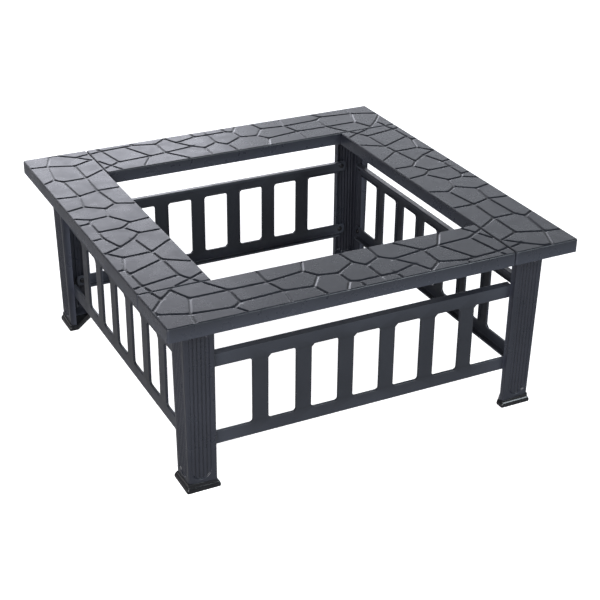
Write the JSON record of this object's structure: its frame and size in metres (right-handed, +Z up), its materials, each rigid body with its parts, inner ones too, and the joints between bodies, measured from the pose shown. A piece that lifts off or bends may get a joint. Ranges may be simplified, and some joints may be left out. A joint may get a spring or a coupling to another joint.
{
  "type": "fire pit table frame",
  "caption": "Square pressed-steel fire pit table: stone-pattern top panels round an open middle, reeded angle legs, slotted side panels and plastic feet.",
  "frame": {"origin": "centre of the footprint, on the floor under the feet", "axes": "+Z up, front side faces -Y, +X to the front side's right"},
  "size_m": [0.813, 0.813, 0.363],
  "materials": {
    "top_steel": "satin powder coat",
    "leg_steel": "satin powder coat",
    "side_steel": "satin powder coat",
    "foot_plastic": "moulded, glossy",
    "screw_black": "black oxide",
    "nut_zinc": "zinc plated"
  },
  "bodies": {
    "root": {"top_panel_front": "top_steel", "top_panel_right": "top_steel", "top_panel_back": "top_steel", "top_panel_left": "top_steel", "leg_front_left": "leg_steel", "leg_front_right": "leg_steel", "leg_back_right": "leg_steel", "leg_back_left": "leg_steel", "side_panel_front": "side_steel", "side_panel_right": "side_steel", "side_panel_back": "side_steel", "side_panel_left": "side_steel", "foot_cap_front_left": "foot_plastic", "foot_cap_front_right": "foot_plastic", "foot_cap_back_right": "foot_plastic", "foot_cap_back_left": "foot_plastic", "rail_screws_front_left": "screw_black", "rail_screws_front_right": "screw_black", "rail_screws_back_right": "screw_black", "rail_screws_back_left": "screw_black", "rail_nuts_front_left": "nut_zinc", "rail_nuts_front_right": "nut_zinc", "rail_nuts_back_right": "nut_zinc", "rail_nuts_back_left": "nut_zinc", "leg_screws_front_left": "screw_black", "leg_screws_front_right": "screw_black", "leg_screws_back_right": "screw_black", "leg_screws_back_left": "screw_black", "leg_bushes_front_left": "nut_zinc", "leg_bushes_front_right": "nut_zinc", "leg_bushes_back_right": "nut_zinc", "leg_bushes_back_left": "nut_zinc", "seam_screws_front_left": "screw_black", "seam_screws_front_right": "screw_black", "seam_screws_back_right": "screw_black", "seam_screws_back_left": "screw_black", "seam_nuts_front_left": "nut_zinc", "seam_nuts_front_right": "nut_zinc", "seam_nuts_back_right": "nut_zinc", "seam_nuts_back_left": "nut_zinc"}
  },
  "joints": []
}
